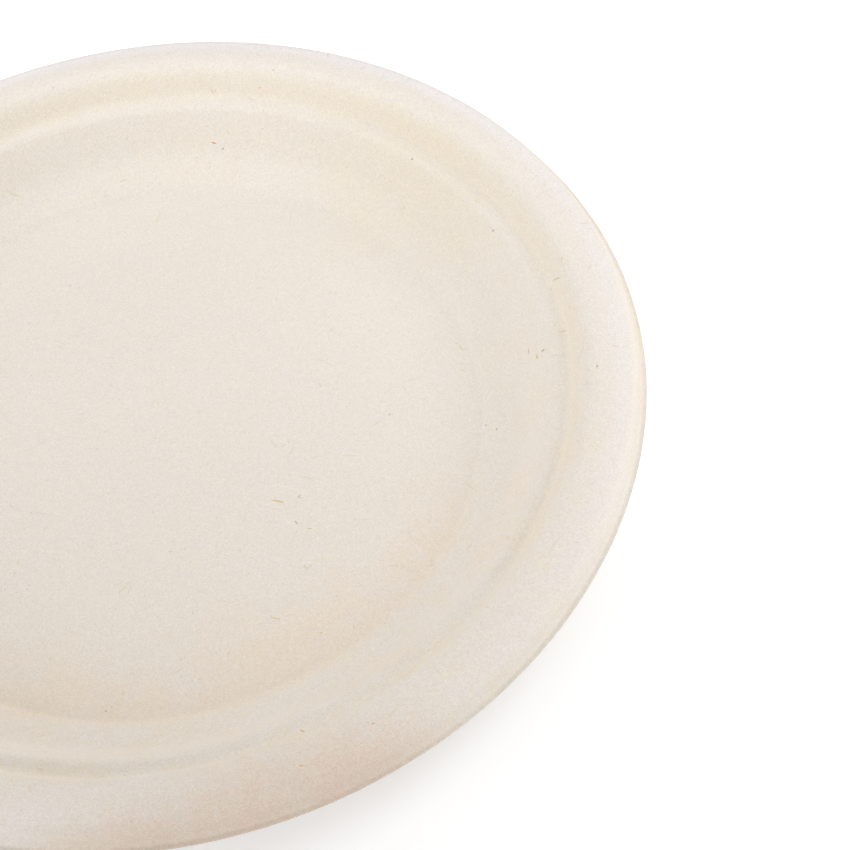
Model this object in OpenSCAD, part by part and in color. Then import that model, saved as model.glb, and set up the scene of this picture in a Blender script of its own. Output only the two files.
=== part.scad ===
// Round plate of moulded plant fibre, pressed in one piece.
// The food side is one line of straight stretches and round bends, from the middle of the base
// out to the lip. The underside is the same line, one wall thickness below it.
// The origin is the middle of the base, on the table. Slopes are in degrees from level.

/* [Overall] */
// Diameter across the lip
plate_d = 229; // [190:1:300]
// Height from the table to the crest of the rim
height = 21.3; // [15:0.1:30]
// Thickness of the moulded fibre
wall = 0.7; // [0.4:0.1:1.2]

/* [Well] */
// Slope of the lower part of the well wall
low_slope = 26; // [15:1:35]
// Slope of the upper part of the well wall
high_slope = 53; // [40:1:60]
// Share of the well wall's height that its lower part takes
low_share = 0.32; // [0.2:0.02:0.5]
// Radius of the bend from the base into the well wall
foot_r = 4; // [2:0.5:8]
// Radius of the soft bend between the two parts of the well wall
belly_r = 12; // [6:1:20]

/* [Stacking ledge] */
// Depth of the ledge below the crest of the rim
ledge_drop = 6.5; // [4:0.1:9]
// Width of the ledge
ledge_w = 4; // [2.7:0.1:5]
// Slope of the ledge
ledge_slope = 3; // [1:1:10]
// Radius of the bend over the ledge's inner side
ledge_top_r = 3; // [1.3:0.1:4]
// Radius of the bend from the ledge into the steep wall
ledge_foot_r = 2.3; // [0.8:0.1:2.4]
// Slope of the steep wall above the ledge
step_slope = 57; // [40:1:65]

/* [Rim] */
// Width of the rim, from the lip in to the steep wall
rim_w = 13.4; // [11:0.1:17]
// Share of the rim's width that lies inside its crest
crest_share = 0.33; // [0.3:0.01:0.4]
// Slope of the rim inside the crest
inner_slope = 8; // [5:1:14]
// Slope of the rim outside the crest
outer_slope = 8; // [4:1:14]
// Radius of the bend from the steep wall onto the rim
rim_inner_r = 5.5; // [3:0.1:7]

/* [Lip] */
// Width of the turned-down lip, seen from above
lip_run = 1.7; // [1.2:0.1:3]
// Slope of the lip
lip_slope = 72; // [40:1:76]
// Radius of the bend from the rim down into the lip
shoulder_r = 3.6; // [2:0.1:5]
// Width of the narrow flange that ends the lip
flange_w = 1; // [0.6:0.1:2]
// Slope of the flange
flange_slope = 15; // [1:1:30]
// Radius of the bend from the lip out into the flange
flange_r = 0.8; // [0.5:0.1:1]

/* [Finish] */
// Colour of the unbleached fibre
fibre_colour = "#e9e0d5"; // ["#e9e0d5", "#f3f1ec", "#cdb897"]

/* [Hidden] */

// Largest turn of one step along a bend, in degrees
bend_step = 5;
// Straight stretch left between the arch of the rim and the bend next to it
land = 0.05;

lip_radius = plate_d / 2;
flange_radius = lip_radius - flange_w;
shoulder_radius = flange_radius - lip_run;
rim_radius = lip_radius - rim_w;
inner_w = crest_share * rim_w;
crest_radius = rim_radius + inner_w;
outer_w = shoulder_radius - crest_radius;

// Length that a bend takes from each of the two straight stretches it joins
function bend_length(radius, turn) = radius * tan(turn / 2);

// The arch over the crest fills the shorter side of the rim, up to the next bend
inner_room = inner_w / cos(inner_slope) - bend_length(rim_inner_r, step_slope - inner_slope) - land;
outer_room = outer_w / cos(outer_slope) - bend_length(shoulder_r, lip_slope - outer_slope) - land;
arch_turn = inner_slope + outer_slope;
arch_lean = (outer_slope - inner_slope) / 2;
arch_r = min(inner_room, outer_room) / tan(arch_turn / 2);

// The highest point of the arch is at the plate's height
arch_z = height + arch_r * (cos(arch_lean) / cos(arch_turn / 2) - 1);
rim_z = arch_z - inner_w * tan(inner_slope);
shoulder_z = arch_z - outer_w * tan(outer_slope);
flange_z = shoulder_z - lip_run * tan(lip_slope);
lip_z = flange_z - flange_w * tan(flange_slope);
ledge_z = height - ledge_drop;
ledge_inner_z = ledge_z - ledge_w * tan(ledge_slope);

ledge_radius = rim_radius - (rim_z - ledge_z) / tan(step_slope);
ledge_inner_radius = ledge_radius - ledge_w;
belly_z = wall + low_share * (ledge_inner_z - wall);
belly_radius = ledge_inner_radius - (ledge_inner_z - belly_z) / tan(high_slope);
foot_radius = belly_radius - (belly_z - wall) / tan(low_slope);

// Corners of the food side as [radius, height], and the radius of the bend at each
corners = [
    [0, wall],
    [foot_radius, wall],
    [belly_radius, belly_z],
    [ledge_inner_radius, ledge_inner_z],
    [ledge_radius, ledge_z],
    [rim_radius, rim_z],
    [crest_radius, arch_z],
    [shoulder_radius, shoulder_z],
    [flange_radius, flange_z],
    [lip_radius, lip_z]
];
bends = [0, foot_r, belly_r, ledge_top_r, ledge_foot_r, rim_inner_r, arch_r, shoulder_r, flange_r, 0];

function unit(v) = v / norm(v);
function heading(line, i) = unit(line[i + 1] - line[i]);
function below(direction) = [direction.y, -direction.x];
function turn_sign(line, i) = sign(cross(heading(line, i - 1), heading(line, i)));

// Corner i of the line that runs a given gap below the given line
function lowered_corner(line, i, gap) =
    i == 0 ? line[0] + gap * below(heading(line, 0)) :
    i == len(line) - 1 ? line[i] + gap * below(heading(line, i - 1)) :
    let (before = below(heading(line, i - 1)), after = below(heading(line, i)))
    line[i] + gap * (before + after) / (1 + before * after);

function lowered_line(line, gap) = [for (i = [0:len(line) - 1]) lowered_corner(line, i, gap)];

// A bend in a hollow grows by the gap on the way down, and a bend over a ridge shrinks by it
function lowered_bends(line, radii, gap) =
    [for (i = [0:len(line) - 1]) radii[i] == 0 ? 0 : radii[i] + turn_sign(line, i) * gap];

// Points of the arc that rounds corner i of a line, with one at its middle
function bend_points(line, radius, i) =
    let (
        back = -heading(line, i - 1),
        ahead = heading(line, i),
        half = acos(back * ahead) / 2,
        centre = line[i] + unit(back + ahead) * radius / sin(half),
        sweep = (180 - 2 * half) * turn_sign(line, i),
        start = line[i] + back * radius / tan(half) - centre,
        steps = 2 * ceil(abs(sweep) / 2 / bend_step)
    )
    [for (k = [0:steps])
        let (a = sweep * k / steps)
        centre + [start.x * cos(a) - start.y * sin(a), start.x * sin(a) + start.y * cos(a)]];

function rounded_line(line, radii) =
    [for (i = [0:len(line) - 1])
        each (radii[i] == 0 ? [line[i]] : bend_points(line, radii[i], i))];

function reversed(list) = [for (i = [len(list) - 1:-1:0]) list[i]];

module plate() {
    food_side = rounded_line(corners, bends);
    underside = rounded_line(lowered_line(corners, wall), lowered_bends(corners, bends, wall));
    color(fibre_colour)
        rotate_extrude($fn = 180)
            polygon(concat(food_side, reversed(underside)));
}

plate();
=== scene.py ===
"""A round plate pressed in one piece from plant-fibre pulp, on a white table in soft light."""
import math

import bpy
import numpy as np
from mathutils import Matrix, Vector, noise


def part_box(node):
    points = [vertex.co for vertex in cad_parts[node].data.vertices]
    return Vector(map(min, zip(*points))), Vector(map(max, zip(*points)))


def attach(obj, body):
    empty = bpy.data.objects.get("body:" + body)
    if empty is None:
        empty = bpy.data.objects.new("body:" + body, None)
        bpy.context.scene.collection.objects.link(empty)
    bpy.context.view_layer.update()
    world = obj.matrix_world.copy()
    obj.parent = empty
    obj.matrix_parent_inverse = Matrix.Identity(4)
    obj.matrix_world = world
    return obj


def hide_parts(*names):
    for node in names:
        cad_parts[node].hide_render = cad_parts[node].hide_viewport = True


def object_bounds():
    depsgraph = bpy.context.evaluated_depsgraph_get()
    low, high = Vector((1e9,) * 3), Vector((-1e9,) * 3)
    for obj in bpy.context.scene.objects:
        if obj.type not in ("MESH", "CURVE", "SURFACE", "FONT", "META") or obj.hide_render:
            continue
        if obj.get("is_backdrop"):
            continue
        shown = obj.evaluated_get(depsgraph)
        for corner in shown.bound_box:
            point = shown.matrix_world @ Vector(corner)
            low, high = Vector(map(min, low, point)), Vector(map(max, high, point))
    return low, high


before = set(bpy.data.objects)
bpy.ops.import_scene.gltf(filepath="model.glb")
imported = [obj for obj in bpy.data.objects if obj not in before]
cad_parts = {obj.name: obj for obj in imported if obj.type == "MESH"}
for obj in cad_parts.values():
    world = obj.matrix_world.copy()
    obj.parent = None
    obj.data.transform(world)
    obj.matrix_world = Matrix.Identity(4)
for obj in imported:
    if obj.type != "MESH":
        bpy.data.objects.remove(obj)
cad_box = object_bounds()

# The plate's form. The real plate is one sheet of wet pulp, sucked onto a screen and pressed hot between two
# moulds, then trimmed round at the flange. Its food side is one line of straight stretches and round bends,
# and the underside is the same line one wall lower.
MM = 0.001
cad_low, cad_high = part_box("plate")
lip_radius = (cad_high.x - cad_low.x) / 2
height = cad_high.z - cad_low.z
wall = 0.7 * MM
low_slope, high_slope, low_share = math.radians(26), math.radians(53), 0.32
foot_bend, belly_bend = 4 * MM, 12 * MM
ledge_drop, ledge_width, ledge_slope = 6.5 * MM, 4 * MM, math.radians(3)
ledge_top_bend, ledge_foot_bend = 3 * MM, 2.3 * MM
step_slope = math.radians(57)
rim_width, crest_share, rim_slope, rim_inner_bend = 13.4 * MM, 0.33, math.radians(8), 5.5 * MM
lip_run, lip_slope, shoulder_bend = 1.7 * MM, math.radians(72), 3.6 * MM
flange_width, flange_slope, flange_bend = 1 * MM, math.radians(15), 0.8 * MM
trim_bend = 0.18 * MM
# Straight stretch left between the arch of the rim and the bend next to it
land = 0.05 * MM


def bend_length(radius, turn):
    """How much of each straight stretch a bend takes."""
    return radius * math.tan(turn / 2)


shoulder_radius = lip_radius - flange_width - lip_run
rim_radius = lip_radius - rim_width
inner_width = crest_share * rim_width
crest_radius = rim_radius + inner_width
outer_width = shoulder_radius - crest_radius
inner_room = inner_width / math.cos(rim_slope) - bend_length(rim_inner_bend, step_slope - rim_slope)
outer_room = outer_width / math.cos(rim_slope) - bend_length(shoulder_bend, lip_slope - rim_slope)
arch_bend = (min(inner_room, outer_room) - land) / math.tan(rim_slope)
arch_z = height + arch_bend * (1 / math.cos(rim_slope) - 1)
rim_z = arch_z - inner_width * math.tan(rim_slope)
shoulder_z = arch_z - outer_width * math.tan(rim_slope)
flange_z = shoulder_z - lip_run * math.tan(lip_slope)
ledge_z = height - ledge_drop
ledge_inner_z = ledge_z - ledge_width * math.tan(ledge_slope)
ledge_radius = rim_radius - (rim_z - ledge_z) / math.tan(step_slope)
ledge_inner_radius = ledge_radius - ledge_width
belly_z = wall + low_share * (ledge_inner_z - wall)
belly_radius = ledge_inner_radius - (ledge_inner_z - belly_z) / math.tan(high_slope)
foot_radius = belly_radius - (belly_z - wall) / math.tan(low_slope)
# Within this radius the base is plain, and its mesh is coarse
plain_radius = foot_radius - 4 * MM
food_corners = [
    (0, wall, 0),
    (plain_radius, wall, 0),
    (foot_radius, wall, foot_bend),
    (belly_radius, belly_z, belly_bend),
    (ledge_inner_radius, ledge_inner_z, ledge_top_bend),
    (ledge_radius, ledge_z, ledge_foot_bend),
    (rim_radius, rim_z, rim_inner_bend),
    (crest_radius, arch_z, arch_bend),
    (shoulder_radius, shoulder_z, shoulder_bend),
    (lip_radius - flange_width, flange_z, flange_bend),
    (lip_radius, flange_z - flange_width * math.tan(flange_slope), trim_bend),
]


def lowered(corners, gap):
    """The corners of the line that runs a gap below the given one."""
    points = np.array([corner[:2] for corner in corners])
    heading = np.diff(points, axis=0)
    heading /= np.linalg.norm(heading, axis=1)[:, None]
    below = np.stack([heading[:, 1], -heading[:, 0]], axis=1)
    made = [(*(points[0] + gap * below[0]), 0)]
    for i in range(1, len(points) - 1):
        shift = gap * (below[i - 1] + below[i]) / (1 + below[i - 1] @ below[i])
        hollow = np.sign(heading[i - 1][0] * heading[i][1] - heading[i - 1][1] * heading[i][0])
        made.append((*(points[i] + shift), corners[i][2] + hollow * gap))
    made.append((*(points[-1] + gap * below[-1]), trim_bend))
    return made


bend_step = math.radians(4)
fine_piece, plain_piece = 1.3 * MM, 8 * MM


def rounded(corners):
    """Points along a line whose corners are bends, with the stretches between them cut into pieces."""
    made = [Vector(corners[0][:2])]

    def run_to(point):
        start = made[-1].copy()
        plain = (start.x + point.x) / 2 < plain_radius
        pieces = max(1, round((point - start).length / (plain_piece if plain else fine_piece)))
        made.extend(start.lerp(point, (k + 1) / pieces) for k in range(pieces))

    for before, corner, after in zip(corners, corners[1:], corners[2:]):
        tip = Vector(corner[:2])
        if not corner[2]:
            run_to(tip)
            continue
        back = (Vector(before[:2]) - tip).normalized()
        ahead = (Vector(after[:2]) - tip).normalized()
        half = back.angle(ahead) / 2
        centre = tip + (back + ahead).normalized() * corner[2] / math.sin(half)
        start = tip + back * corner[2] / math.tan(half)
        run_to(start)
        arm = start - centre
        sweep = math.copysign(math.pi - 2 * half, -back.cross(ahead))
        steps = max(2, math.ceil(abs(sweep) / bend_step))
        for k in range(1, steps + 1):
            made.append(centre + Matrix.Rotation(sweep * k / steps, 2) @ arm)
    run_to(Vector(corners[-1][:2]))
    return made


def wandering(x, y, size, seed):
    """A smooth random number from -1 to 1 that changes over a distance of about size."""
    return noise.noise(Vector((x / size, y / size, seed * 7.3)))


# The wall bends up from the base in a shallow crease that the mould presses into the food side. It reaches
# further in than out from the foot of the wall, and each of its sides has its own run.
crease_depth = 0.28 * MM
crease_reach_in, crease_run_in = 3.6 * MM, 3 * MM
crease_reach_out, crease_run_out = 1 * MM, 1.8 * MM
# Share of the plate's radius within which the base holds it flat
stiff_share = 0.66


def settled(x, y, z, food_side):
    """Where a point of the perfect form lies on a plate that has dried, shrunk and been handled."""
    radius, turn = math.hypot(x, y), math.atan2(y, x)
    inside = (radius - foot_radius + crease_reach_in) / crease_run_in
    outside = (foot_radius + crease_reach_out - radius) / crease_run_out
    if food_side and min(inside, outside) > 0:
        z -= crease_depth * math.sin(math.pi / 2 * min(1, inside, outside)) ** 2
    lift = max(0, radius / lip_radius - stiff_share) / (1 - stiff_share)
    sag = 0.16 * MM * math.cos(2 * turn + 0.6) + 0.10 * MM * math.cos(3 * turn + 2.1)
    lumps = 0.06 * MM * wandering(x, y, 22 * MM, 1) + 0.03 * MM * wandering(x, y, 8 * MM, 2)
    trim = 0.07 * MM * wandering(x, y, 2.5 * MM, 3) * max(0, 1 - (lip_radius - radius) / (1.5 * MM))
    stretch = 1 + 0.0010 * math.cos(2 * turn + 1.9) * lift + trim / lip_radius
    return x * stretch, y * stretch, z + sag * lift ** 2 + lumps * lift


def new_object(name, verts, faces):
    """An object with a mesh of the same name, put into the scene."""
    mesh = bpy.data.meshes.new(name)
    mesh.from_pydata(verts, [], faces)
    made = bpy.data.objects.new(name, mesh)
    bpy.context.scene.collection.objects.link(made)
    return made


SECTORS = 330
FOOD_SIDE, UNDERSIDE = 0, 1
line = rounded(food_corners + lowered(food_corners, wall)[::-1])
trimmed = max(range(len(line)), key=lambda i: line[i].x)
ring_points = [(p.x, p.y, i < trimmed) for i, p in enumerate(line) if p.x > 0.001 * MM]
verts = []
for radius, z, food_side in ring_points:
    for k in range(SECTORS):
        turn = 2 * math.pi * k / SECTORS
        verts.append(settled(radius * math.cos(turn), radius * math.sin(turn), z, food_side))
top_middle, low_middle = len(verts), len(verts) + 1
verts += [(0, 0, wall), (0, 0, 0)]
faces, sides = [], []
for ring in range(len(ring_points) - 1):
    for k in range(SECTORS):
        here, beside = ring * SECTORS + k, ring * SECTORS + (k + 1) % SECTORS
        faces.append((here, here + SECTORS, beside + SECTORS, beside))
        sides.append(FOOD_SIDE if ring_points[ring + 1][2] else UNDERSIDE)
last = (len(ring_points) - 1) * SECTORS
for k in range(SECTORS):
    beside = (k + 1) % SECTORS
    faces += [(top_middle, k, beside), (low_middle, last + beside, last + k)]
    sides += [FOOD_SIDE, UNDERSIDE]

plate = new_object("pressed_plate", verts, faces)
plate.data.polygons.foreach_set("material_index", sides)
plate.data.shade_smooth()
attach(plate, "root")
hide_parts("plate")


# The pulp. Unbleached plant fibre, pressed and dried without a coating: matt, off-white with a warm cast, with
# a fine felted grain. It is cloudy, and a little tan in places, above all round the foot of the wall. Light and
# shade are also painted into its colour: painted shade on the lip and on the rim toward -Y, a painted highlight
# on the edge of the rim, and slow painted changes of lightness across the plate.
class Shade:
    """A value in a material's node tree, with the arithmetic that a finish is written in."""

    def __init__(self, tree, socket=None):
        self.tree, self.socket = tree, socket

    def node(self, kind, settings=None, inputs=None, output=0):
        """Adds a node of a type, with its settings and then the values or links of its sockets."""
        made = self.tree.nodes.new(kind)
        for name, value in (settings or {}).items():
            setattr(made, name, value)
        for name, value in (inputs or {}).items():
            if isinstance(value, Shade):
                self.tree.links.new(value.socket, made.inputs[name])
            else:
                made.inputs[name].default_value = value
        return Shade(self.tree, made.outputs[output])

    def beside(self, output):
        """Another output of the node that this value comes from."""
        return Shade(self.tree, self.socket.node.outputs[output])

    def math(self, operation, *others):
        inputs = dict(enumerate((self, *others)))
        return self.node("ShaderNodeMath", {"operation": operation}, inputs)

    def vector(self, operation, *others, output=0):
        inputs = dict(enumerate((self, *others)))
        return self.node("ShaderNodeVectorMath", {"operation": operation}, inputs, output)

    def __add__(self, other):
        return self.math("ADD", other)

    def __sub__(self, other):
        return self.math("SUBTRACT", other)

    def __mul__(self, other):
        return self.math("MULTIPLY", other)

    def __rsub__(self, other):
        return self * -1.0 + other

    def __abs__(self):
        return self.math("ABSOLUTE")

    __radd__ = __add__
    __rmul__ = __mul__

    def rising(self, low, high):
        """0 below one value and 1 above another, with a soft change between them."""
        return self.node("ShaderNodeMapRange", {"interpolation_type": "SMOOTHSTEP"}, {0: self, 1: low, 2: high})

    def grain(self, size, detail, seed, curl=0.0):
        """A smooth random number from about -1 to 1 over a place, whose lumps are of about one size."""
        moved = self.vector("ADD", (seed * 0.37, seed * 0.11, seed * 0.23))
        inputs = {"Vector": moved, "Scale": 1 / size, "Detail": detail, "Roughness": 0.55, "Distortion": curl}
        return (self.node("ShaderNodeTexNoise", inputs=inputs) - 0.5) * 3.2

    def blend(self, first, second):
        """The colour that goes from one to another while this number goes from 0 to 1."""
        first, second = (it if isinstance(it, Shade) else (*it, 1) for it in (first, second))
        return self.node("ShaderNodeMix", {"data_type": "RGBA"}, {0: self, 6: first, 7: second}, output=2)

    def lit(self, level):
        """This colour, lighter or darker by a number."""
        return self.node("ShaderNodeVectorMath", {"operation": "SCALE"}, {0: self, 3: level})


def new_finish(name):
    """A material, its shader, and the place on the plate, in metres, that its finish starts from."""
    material = bpy.data.materials.new(name)
    material.use_nodes = True
    tree = material.node_tree
    return material, tree.nodes["Principled BSDF"], Shade(tree).node("ShaderNodeTexCoord", output="Object")


def feed(shader, socket, value):
    """Links a value to a socket of a shader."""
    value.tree.links.new(value.socket, shader.inputs[socket])


pale_pulp, tan_and_shade_pulp = (0.813, 0.757, 0.693), (0.808, 0.732, 0.608)
painted_highlight_colour, reddish_and_shade_pulp = (0.858, 0.812, 0.796), (0.815, 0.665, 0.555)
screen_mesh = 0.8 * MM
for side, name in ((FOOD_SIDE, "pressed_pulp_food_side"), (UNDERSIDE, "pressed_pulp_underside")):
    pulp, shader, place = new_finish(name)
    out = place.vector("MULTIPLY", (1, 1, 0)).vector("LENGTH", output=1)
    x = place.node("ShaderNodeSeparateXYZ", inputs={0: place})
    y = x.beside(1)
    # One grows toward -Y and is a length, the other goes from 0 to 1 toward +Y
    near, far = y * -1.0, y.rising(5 * MM, 60 * MM)

    # The rings that differ in tone, from the middle outward, each with soft ends
    base_edge = out.rising(46 * MM, 77 * MM) * (1 - out.rising(76.5 * MM, 79.5 * MM))
    beyond_base = out.rising(75.5 * MM, 79 * MM)
    # Painted light: the fold at the ledge, lightened on one side
    painted_ledge_light = out.rising(93.5 * MM, 95 * MM) * (1 - out.rising(97 * MM, 99 * MM))
    ledge_side = out.rising(95 * MM, 98 * MM) * (1 - out.rising(98.5 * MM, 102 * MM))
    rim = out.rising(99 * MM, 105 * MM)
    # Painted highlight: the band on the edge of the rim, and where it ends
    rim_end = out.rising(110 * MM, 112 * MM) * (1 - near.rising(40 * MM, 80 * MM))
    painted_highlight_band = out.rising(105.5 * MM, 109.5 * MM) * (1 - rim_end)
    # Painted shade: the turned-down lip, darker and more tan
    painted_lip_shade = out.rising(111.6 * MM, 113 * MM)

    # One place on the wall that differs from the rest of its ring
    patch = 1 - place.vector("DISTANCE", (78 * MM, 46 * MM, 12 * MM), output=1).rising(8 * MM, 42 * MM)
    # Painted shade: a corner of the rim toward -Y, on its -X side, which the pulp's colour makes darker and
    # warmer
    corner = near.rising(98 * MM, 112 * MM) * (1 - x.rising(15 * MM, 50 * MM))

    # Thicker and thinner places, which the eye sees as faint clouds
    clouds = place.grain(18 * MM, 2.0, side + 1) * 0.5 + place.grain(6 * MM, 3.0, side + 2) * 0.5
    fuzz = place.grain(1.6 * MM, 3.0, side + 5, 1.0)

    # The pulp is more tan at the foot of the wall, most of all toward -Y, beside the ledge and in one place on
    # the wall, with faint clouds. On the lip and in the corner of the rim toward -Y, the tan is painted shade.
    tan_and_shade_rings = base_edge * near.rising(15 * MM, 95 * MM) * 0.7 + ledge_side * 0.4 + painted_lip_shade * 0.5
    tan_and_shade_rings = tan_and_shade_rings + beyond_base * 0.1 - rim * 0.2 + 0.15
    mottle = out.rising(58 * MM, 84 * MM) * 0.14 + near.rising(20 * MM, 80 * MM) * 0.34 + 0.15
    tan_and_shade_share = tan_and_shade_rings + patch * 0.3 + corner * 0.6 + (clouds * 1.5 + fuzz) * mottle

    # The pulp is redder toward -Y, most of all at the foot of the wall, and has fine reddish specks almost
    # everywhere. In the corner of the rim toward -Y, the red is painted shade.
    reddish_rings = base_edge * near.rising(20 * MM, 90 * MM) * 0.22 + near.rising(10 * MM, 60 * MM) * 0.09
    specks = place.grain(1.1 * MM, 1.0, side + 8).rising(0.4, 1.0)
    reddish_and_shade_share = (reddish_rings + corner * 0.7) * (1 + (fuzz + clouds) * 0.6)
    reddish_and_shade_share = reddish_and_shade_share + specks * (near.rising(-60 * MM, 70 * MM) * 0.3 + 0.08)

    # A painted highlight, paler and cooler, lies on the edge of the rim. It is strongest toward +Y and weaker
    # toward -Y, where it runs out over the lip, and there is none in the corner of painted shade
    painted_highlight_share = painted_highlight_band * (far * 0.5 - near.rising(50 * MM, 90 * MM) * 0.28 + 0.44) * (1 - corner)

    # Painted light and shade: the base is painted darker than the wall round it on the side away from -Y and
    # lighter toward -Y. The corner of the rim toward -Y and the lip are painted darker, and the fold at the
    # ledge is painted lighter toward +X on the side away from +Y
    painted_light_and_shade = far * (beyond_base * 0.04 - out.rising(84 * MM, 90 * MM) * 0.006 - 0.036)
    painted_light_and_shade = painted_light_and_shade + near.rising(10 * MM, 60 * MM) * (1 - beyond_base) * 0.02 - corner * 0.08 - painted_lip_shade * 0.05
    painted_light_and_shade = painted_light_and_shade + painted_ledge_light * x.rising(60 * MM, 90 * MM) * (1 - far) * 0.035

    # Fibres cross one another in a fine felt of short curly threads of two sizes
    threads = [abs(place.grain(size * MM, 1.0, side + seed, 2.0)) for size, seed in ((1.2, 3), (0.8, 6))]
    gaps = threads[0].rising(0.0, 0.35) + threads[1].rising(0.0, 0.35)
    felt = 0.7 - gaps * 0.55 + place.grain(0.34 * MM, 2.0, side + 4, 1.5) * 2.1

    colour = tan_and_shade_share.blend(pale_pulp, tan_and_shade_pulp)
    colour = reddish_and_shade_share.blend(colour, reddish_and_shade_pulp)
    colour = painted_highlight_share.blend(colour, painted_highlight_colour)
    feed(shader, "Base Color", colour.lit(1 + felt * 0.075 + clouds * 0.01 + painted_light_and_shade))
    feed(shader, "Roughness", 0.88 + felt * 0.03)
    shader.inputs["Specular IOR Level"].default_value = 0.3
    relief = felt * 0.5 + place.grain(4 * MM, 2.0, side + 10)
    if side == UNDERSIDE:
        # The forming screen's wires leave a fine square mesh in the underside
        waves = [(part * (2 * math.pi / screen_mesh)).math("SINE") for part in (x, y)]
        relief = relief + waves[0] * waves[1] * 0.8
    normal = relief.node("ShaderNodeBump", inputs={"Strength": 0.6, "Distance": 0.02 * MM, "Height": relief})
    feed(shader, "Normal", normal)
    plate.data.materials.append(pulp)


# The flecks. Splinters of straw, crumbs of bark and a few long fibres that the pulping left whole. They lie in
# the pressed surface of both sides, flush with it, and most are half covered by the paler pulp.
surfaces = {
    FOOD_SIDE: [(radius, z) for radius, z, food_side in ring_points if food_side],
    UNDERSIDE: [(radius, z) for radius, z, food_side in ring_points if not food_side][::-1],
}
chance = np.random.default_rng(11)
# How far a splinter's long edges, its ridge and its root stand out of the pulp, in millimetres
edge_rise, ridge_rise, root_rise = -0.01, 0.03, -0.10
# Length of a splinter's pieces, and the radius within which splinters are strewn, in millimetres
splinter_piece, strewn_radius = 0.5, 111


def on_plate(x, y, side, rise):
    """The point that stands a little out of the plate's surface, or into it, at a place on one side."""
    radii, heights = zip(*surfaces[side])
    x, y, z = settled(x, y, float(np.interp(math.hypot(x, y), radii, heights)), side == FOOD_SIDE)
    return x, y, z + (rise if side == FOOD_SIDE else -rise)


def splinter(verts, faces, side, x, y, lean, length, width, bow):
    """Adds a closed splinter to a mesh: place, lean in degrees, length, width and bow in millimetres."""
    cos, sin = math.cos(math.radians(lean)), math.sin(math.radians(lean))
    steps = max(3, round(length / splinter_piece))
    first = len(verts)
    for k in range(steps + 1):
        share = 2 * k / steps - 1
        along, across = share * length / 2, bow * (1 - share ** 2)
        half_width = width / 2 * (0.35 + 0.65 * (1 - share ** 4))
        for edge, rise in ((-half_width, edge_rise), (0, ridge_rise), (half_width, edge_rise), (0, root_rise)):
            here = (x + along * cos - (across + edge) * sin, y + along * sin + (across + edge) * cos)
            verts.append(on_plate(here[0] * MM, here[1] * MM, side, rise * MM))
    made = [(first, first + 1, first + 2, first + 3), tuple(first + 4 * steps + k for k in (3, 2, 1, 0))]
    for k in range(first, first + 4 * steps, 4):
        made += [(k + m, k + 4 + m, k + 4 + (m + 1) % 4, k + (m + 1) % 4) for m in range(4)]
    faces += made if side == FOOD_SIDE else [face[::-1] for face in made]


def strewn(count, lengths, widths, bow):
    """Splinters strewn over both sides at random, most of them short."""
    for k in range(2 * count):
        radius, turn = strewn_radius * math.sqrt(chance.random()), 2 * math.pi * chance.random()
        length = lengths[0] + (lengths[1] - lengths[0]) * chance.random() ** 2.5
        yield (k % 2, radius * math.cos(turn), radius * math.sin(turn), 360 * chance.random(), length,
               chance.uniform(*widths), chance.uniform(-bow, bow) * length)


# The flecks that can be told apart on the food side: x, y, lean, length, width and bow
straw = [
    (21.1, -29.7, -35, 3.0, 0.45, 0.1), (11.9, -59.5, -31, 2.4, 0.36, 0), (26.1, -30.1, 6, 1.0, 0.40, 0),
    (25.8, -39.6, -22, 1.1, 0.36, 0), (20.4, -66.8, -21, 0.9, 0.34, 0), (98.6, -5.5, -52, 2.2, 0.30, 0.1),
    (88.0, -20.4, -95, 1.8, 0.42, 0), (74.5, -3.2, -88, 1.7, 0.28, 0), (64.3, -67.2, 7, 1.2, 0.32, 0),
    (34.6, 33.6, 20, 0.6, 0.40, 0), (66.0, 61.8, 70, 0.8, 0.35, 0), (51.3, 84.2, -10, 0.7, 0.36, 0),
    (9.4, -96.7, -56, 1.6, 0.45, 0),
]
amber = [
    (101.1, -2.9, 52, 1.2, 0.40, 0), (36.2, 79.8, -32, 1.3, 0.40, 0), (6.8, -107.4, -20, 1.0, 0.46, 0),
    (46.3, 59.5, 0, 0.5, 0.45, 0), (87.2, -16.6, -111, 1.6, 0.28, 0),
]
bark = [
    (23.4, -36.9, -76, 1.4, 0.22, 0), (89.4, -20.8, -40, 0.9, 0.42, 0), (90.9, 17.6, 0, 0.5, 0.40, 0),
    (80.2, 47.4, 0, 0.5, 0.46, 0), (23.0, -103.7, 30, 0.6, 0.38, 0), (97.0, -36.1, 80, 0.8, 0.34, 0),
    (38.0, 77.9, 0, 0.5, 0.38, 0), (72.3, -27.4, 10, 0.5, 0.38, 0), (74.0, -30.4, 40, 0.5, 0.36, 0),
]
long_fibres = [
    (18.1, -34.8, -22, 2.6, 0.20, 0.1), (58.1, -8.9, 6, 9.4, 0.16, 0.8), (105.1, 17.5, 11, 6.9, 0.15, 0.5),
]
straw_colour, amber_colour = (0.74, 0.54, 0.23), (0.70, 0.42, 0.17)
bark_colour, hair_colour = (0.24, 0.15, 0.10), (0.50, 0.38, 0.30)
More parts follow.
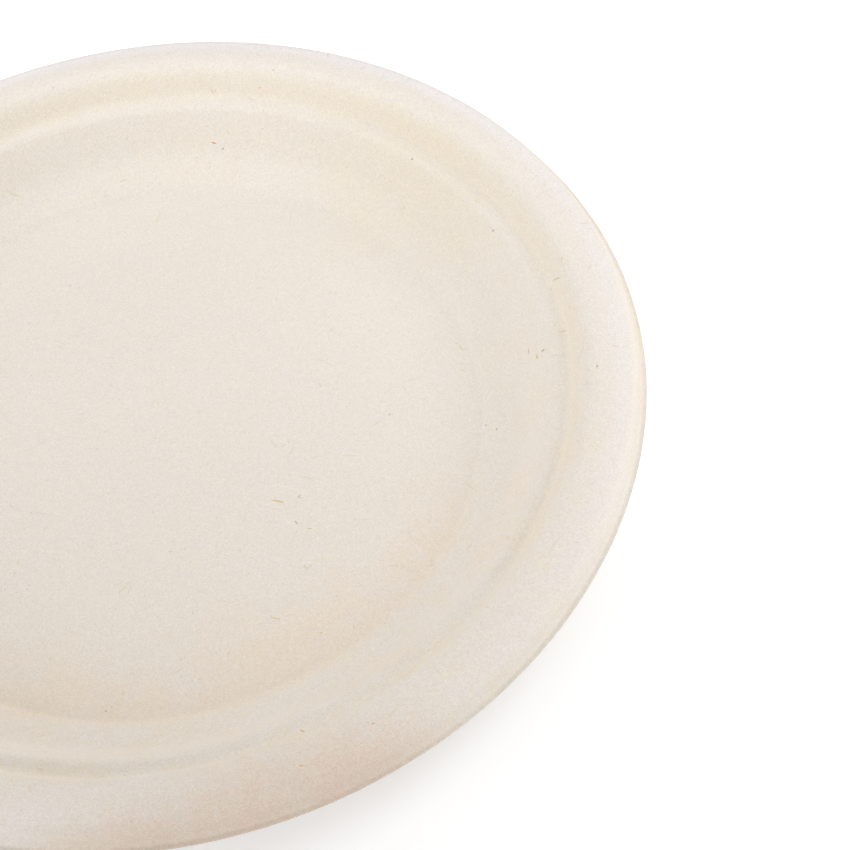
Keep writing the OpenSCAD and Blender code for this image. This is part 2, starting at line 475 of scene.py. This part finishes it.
for name, colour, cover, laid, scattered in (
    ("straw_splinters", straw_colour, 0.85, straw, ()),
    ("amber_splinters", amber_colour, 0.80, amber, ()),
    ("bark_crumbs", bark_colour, 0.80, bark, ()),
    ("long_fibres", hair_colour, 0.30, long_fibres, strewn(60, (2, 6), (0.10, 0.18), 0.10)),
    ("covered_straw", straw_colour, 0.35, (), strewn(430, (0.5, 2.6), (0.25, 0.45), 0.05)),
    ("covered_bark", bark_colour, 0.28, (), strewn(200, (0.3, 0.9), (0.22, 0.36), 0)),
):
    verts, faces = [], []
    for each in [(FOOD_SIDE, *row) for row in laid] + list(scattered):
        splinter(verts, faces, *each)
    flecks = new_object(name, verts, faces)
    flecks.data.shade_smooth()
    finish, shader, place = new_finish(name)
    shown_share = place.grain(5 * MM, 1.0, 20) * 0.6 * cover + cover
    feed(shader, "Base Color", shown_share.blend(pale_pulp, colour))
    shader.inputs["Roughness"].default_value = 0.85
    shader.inputs["Specular IOR Level"].default_value = 0.3
    flecks.data.materials.append(finish)
    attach(flecks, "root")


# The table and the room. A plain white surface that runs out of the picture, in a white room. The camera sees
# both as plain white: the table glows more the further it is from the plate, where it keeps a soft shadow.
black, white = (0, 0, 0), (1, 1, 1)
table_half = 3.0
table_corners = [(-table_half, -table_half, 0), (table_half, -table_half, 0),
                 (table_half, table_half, 0), (-table_half, table_half, 0)]
table = new_object("white_table", table_corners, [(0, 1, 2, 3)])
table.location.z = -0.02 * MM
table_finish, table_shader, place = new_finish("white_table")
table_shader.inputs["Base Color"].default_value = (0.88, 0.88, 0.88, 1)
table_shader.inputs["Roughness"].default_value = 1.0
table_shader.inputs["Specular IOR Level"].default_value = 0.0
table_shader.inputs["Emission Strength"].default_value = 1.0
seen = place.node("ShaderNodeLightPath", output="Is Camera Ray")
strength = place.vector("LENGTH", output=1).rising(0.25, 0.6) * 0.65 + 0.35
feed(table_shader, "Emission Color", (seen * strength).blend(black, white))
table.data.materials.append(table_finish)
table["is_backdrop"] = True

room = bpy.data.worlds.new("white_room")
bpy.context.scene.world = room
room.use_nodes = True
room_light = (0.10, 0.10, 0.10)
straight = Shade(room.node_tree).node("ShaderNodeLightPath", output="Is Camera Ray")
mirrored = straight.beside("Is Glossy Ray").math("MAXIMUM", straight.beside("Is Transmission Ray"))
shown = straight.math("MAXIMUM", mirrored)
feed(room.node_tree.nodes["Background"], "Color", shown.blend(room_light, white))


# The lamps. Soft boxes round the table, as for a product picture: two strong ones on the right and behind on
# the left, broad ones further off on the left and in front, and a small one low down in front that opens up
# the shade of the lip.
def soft_box(name, turn, rise, distance, size, level):
    """A square lamp that faces the plate from a turn about it and a rise above the table, in degrees.

    Its level is what reaches the plate, whatever its distance.
    """
    lamp = bpy.data.lights.new(name, "AREA")
    lamp.size, lamp.energy = size, level * 10 * distance ** 2
    stand = bpy.data.objects.new(name, lamp)
    turn, rise = math.radians(turn), math.radians(rise)
    aim = Vector((math.cos(rise) * math.cos(turn), math.cos(rise) * math.sin(turn), math.sin(rise)))
    stand.location = aim * distance
    stand.rotation_euler = (-aim).to_track_quat("-Z", "Y").to_euler()
    bpy.context.scene.collection.objects.link(stand)


soft_box("right_box", 349, 40, 0.45, 0.3, 0.445)
soft_box("back_right_box", 49, 40, 0.45, 0.3, 0.215)
soft_box("back_left_box", 139, 40, 0.45, 0.3, 0.455)
soft_box("left_box", 199, 18, 1.3, 0.9, 0.58)
soft_box("front_box", 289, 18, 1.3, 0.9, 0.245)
soft_box("front_right_box", 334, 18, 1.3, 0.9, 0.12)
soft_box("low_front_box", 282, 3, 0.4, 0.04, 0.05)

# The camera. A long lens looks down from 50 degrees above the table. It is held askew and turned to the right
# of the plate's middle, so that the plate runs out of the picture on the left and at the bottom.
camera_distance, camera_rise, aim_z = 0.4933, math.radians(50.55), 14 * MM
roll, tilt, pan = math.radians(-17.68), math.radians(-0.72), math.radians(-7.46)
eye = Vector((0, -math.cos(camera_rise), math.sin(camera_rise))) * camera_distance
level = (-eye).to_track_quat("-Z", "Y").to_matrix()
held = level @ Matrix.Rotation(roll, 3, "Z") @ Matrix.Rotation(tilt, 3, "X") @ Matrix.Rotation(pan, 3, "Y")
lens = bpy.data.cameras.new("camera")
lens.lens, lens.sensor_width = 90, 36
camera = bpy.data.objects.new("camera", lens)
camera.matrix_world = Matrix.Translation(eye + Vector((0, 0, aim_z))) @ held.to_4x4()
scene = bpy.context.scene
scene.collection.objects.link(camera)
scene.camera = camera
scene.view_settings.view_transform = "Standard"

({name: [list(corner) for corner in box]
           for name, box in (("cad", cad_box), ("visual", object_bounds()))})
